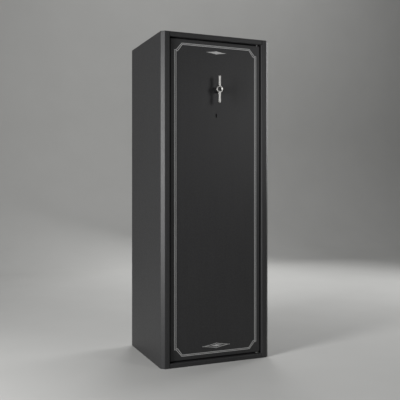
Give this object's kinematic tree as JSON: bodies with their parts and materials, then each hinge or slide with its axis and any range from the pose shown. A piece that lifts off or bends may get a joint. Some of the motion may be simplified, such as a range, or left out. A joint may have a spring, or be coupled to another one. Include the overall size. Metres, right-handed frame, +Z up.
{
  "type": "gun safe",
  "caption": "Tall narrow steel gun safe with an inset door, two-arm turning handle, keyhole, sliding bolts, shelf and barrel rack.",
  "frame": {"origin": "middle of the base, on the surface that the safe stands on", "axes": "+Z up, -Y out of the door, +X to the right of someone facing the door"},
  "size_m": [0.54, 0.49, 1.5],
  "materials": {
    "powder_coat": "fine textured charcoal powder coat, satin",
    "black_paint": "black satin enamel",
    "handle_steel": "satin nickel plate",
    "bright_steel": "ground bright steel",
    "zinc": "zinc plate",
    "brass": "machined brass",
    "rubber": "matt rubber",
    "felt": "needle felt",
    "mat_rubber": "ribbed black rubber",
    "cover_paint": "fine textured charcoal powder coat, satin"
  },
  "bodies": {
    "cabinet": {"casing": "powder_coat", "top_panel": "powder_coat", "floor_panel": "powder_coat", "top_rail": "powder_coat", "bottom_rail": "powder_coat", "hinge_pin_top": "bright_steel", "hinge_pin_bottom": "bright_steel", "thrust_washer": "bright_steel", "door_stop_upper": "powder_coat", "door_stop_lower": "powder_coat", "door_buffer_upper": "rubber", "door_buffer_lower": "rubber", "lining_left": "felt", "lining_right": "felt", "lining_back": "felt", "floor_mat": "mat_rubber", "shelf": "felt", "shelf_clip_left_front": "zinc", "shelf_clip_left_back": "zinc", "shelf_clip_right_front": "zinc", "shelf_clip_right_back": "zinc", "barrel_rack": "felt", "rack_angle": "zinc"},
    "door": {"door_pan": "powder_coat", "door_cover": "cover_paint", "cover_screw_1": "zinc", "cover_screw_2": "zinc", "cover_screw_3": "zinc", "cover_screw_4": "zinc", "cover_screw_5": "zinc", "cover_screw_6": "zinc", "hinge_bush_top": "zinc", "hinge_bush_bottom": "zinc", "dog_bar": "bright_steel", "door_stiffener": "black_paint", "rod_guide_top": "black_paint", "rod_guide_bottom": "black_paint", "carriage_guide_upper": "black_paint", "carriage_guide_lower": "black_paint", "handle_boss": "black_paint", "spindle_bush": "brass", "lock_case": "zinc", "lock_cover": "zinc", "lever_pack": "brass"},
    "handle": {"handle": "handle_steel", "hub_insert": "black_paint", "spindle": "bright_steel", "pinion": "bright_steel", "spindle_retainer": "zinc"},
    "carriage": {"bolt_carriage": "zinc", "side_bolt_1": "bright_steel", "side_bolt_2": "bright_steel", "side_bolt_3": "bright_steel", "lock_tab": "zinc"},
    "top_rod": {"top_rod": "zinc", "top_bolt": "bright_steel"},
    "bottom_rod": {"bottom_rod": "zinc", "bottom_bolt": "bright_steel"},
    "curtain": {"key_curtain": "brass"},
    "lock_bolt": {"lock_bolt": "brass"}
  },
  "joints": [
    {"name": "door_hinge", "type": "hinge", "parent": "cabinet", "child": "door", "pos_m": [0.214, -0.209, 0.75], "axis": [0, 0, 1], "range_deg": [0, 100]},
    {"name": "handle_turn", "type": "hinge", "parent": "door", "child": "handle", "pos_m": [0, -0.255, 1.252], "axis": [0, -1, 0], "range_deg": [0, 90]},
    {"name": "carriage_slide", "type": "slide", "parent": "door", "child": "carriage", "axis": [-1, 0, 0], "range_m": [0, 0.0212]},
    {"name": "top_rod_slide", "type": "slide", "parent": "door", "child": "top_rod", "axis": [0, 0, 1], "range_m": [0, 0.0213]},
    {"name": "bottom_rod_slide", "type": "slide", "parent": "door", "child": "bottom_rod", "axis": [0, 0, -1], "range_m": [0, 0.0213]},
    {"name": "key_turn", "type": "hinge", "parent": "door", "child": "curtain", "pos_m": [0, -0.214, 1.135], "axis": [0, -1, 0], "range_deg": [0, 180]},
    {"name": "lock_bolt_slide", "type": "slide", "parent": "door", "child": "lock_bolt", "axis": [0, 0, 1], "range_m": [0, 0.01]}
  ],
  "couplings": [
    {"joint": "handle_turn", "follows": "carriage_slide", "rad_per_m": 74.074},
    {"joint": "top_rod_slide", "follows": "carriage_slide", "ratio": 1},
    {"joint": "bottom_rod_slide", "follows": "carriage_slide", "ratio": 1},
    {"joint": "key_turn", "follows": "lock_bolt_slide", "rad_per_m": 314.15}
  ]
}
